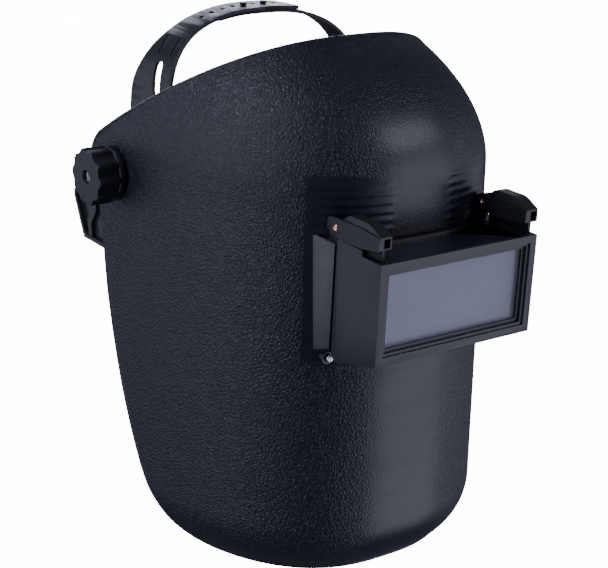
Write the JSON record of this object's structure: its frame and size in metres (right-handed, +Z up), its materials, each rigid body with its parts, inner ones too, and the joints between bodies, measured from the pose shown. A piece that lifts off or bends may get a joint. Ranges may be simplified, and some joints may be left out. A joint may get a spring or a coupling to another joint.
{
  "type": "welding helmet",
  "caption": "Moulded black welding face shell on a tilting headgear, with a hinged lift-up window that holds a dark filter plate over a clear one.",
  "frame": {"origin": "the middle of the tilt axis, between the two tension knobs", "axes": "+Z up to the crown, -Y out through the window, +X to the wearer's left"},
  "size_m": [0.2688, 0.3125, 0.3307],
  "materials": {
    "shell_plastic": "satin black moulded thermoplastic with a fine leather grain",
    "window_plastic": "glossy black moulding",
    "arm_plastic": "fine matt black moulding",
    "knob_plastic": "fine matt black moulding",
    "strap_plastic": "semi-gloss black flexible moulding",
    "bracket_plastic": "satin black moulding",
    "filter_glass": "very dark welding filter with a lavender-grey surface reflection",
    "clear_plate": "clear polycarbonate",
    "felt": "thin black felt",
    "spring_steel": "bare spring steel",
    "zinc_steel": "bright zinc plating",
    "copper_rivet": "polished coppery rivet",
    "brass": "turned brass",
    "sweat_foam": "black towelling over foam"
  },
  "bodies": {
    "headgear": {"headband_front": "strap_plastic", "sweatband": "sweat_foam", "band_buttons": "strap_plastic", "crown_strap_left": "strap_plastic", "crown_strap_right": "strap_plastic", "strap_rivets": "strap_plastic", "side_bracket_left": "bracket_plastic", "side_bracket_right": "bracket_plastic", "bracket_rivets": "zinc_steel", "pivot_stud_left": "zinc_steel", "pivot_stud_right": "zinc_steel", "stop_disc_left": "knob_plastic", "stop_disc_right": "knob_plastic", "outer_washer_left": "knob_plastic", "outer_washer_right": "knob_plastic"},
    "face_shell": {"shell": "shell_plastic", "window_base": "window_plastic", "base_gasket": "felt", "inner_cover_plate": "clear_plate", "inner_plate_clip": "spring_steel", "base_screws": "zinc_steel", "base_nuts": "zinc_steel", "hinge_rivets": "copper_rivet", "hinge_springs": "spring_steel"},
    "lift_front": {"lift_frame": "window_plastic", "lift_arm_left": "arm_plastic", "lift_arm_right": "arm_plastic", "filter_plate": "filter_glass", "front_cover_plate": "clear_plate", "filter_gasket": "felt", "filter_clip": "spring_steel"},
    "knob_left": {"tension_knob_left": "knob_plastic", "knob_insert_left": "brass"},
    "knob_right": {"tension_knob_right": "knob_plastic", "knob_insert_right": "brass"},
    "nape_band": {"rear_band": "strap_plastic", "nape_pad": "sweat_foam"}
  },
  "joints": [
    {"name": "shell_tilt", "type": "hinge", "parent": "headgear", "child": "face_shell", "pos_m": [0, 0, 0], "axis": [-1, 0, 0], "range_deg": [0, 80]},
    {"name": "window_lift", "type": "hinge", "parent": "face_shell", "child": "lift_front", "pos_m": [0, -0.162, 0.0021], "axis": [-1, 0, 0], "range_deg": [0, 60]},
    {"name": "left_knob_turn", "type": "hinge", "parent": "headgear", "child": "knob_left", "pos_m": [-0.127, 0, 0], "axis": [-1, 0, 0], "range_deg": [-180, 180]},
    {"name": "right_knob_turn", "type": "hinge", "parent": "headgear", "child": "knob_right", "pos_m": [0.127, 0, 0], "axis": [1, 0, 0], "range_deg": [-180, 180]},
    {"name": "headband_size", "type": "slide", "parent": "headgear", "child": "nape_band", "axis": [0, 1, 0], "range_m": [-0.01, 0.01]}
  ]
}
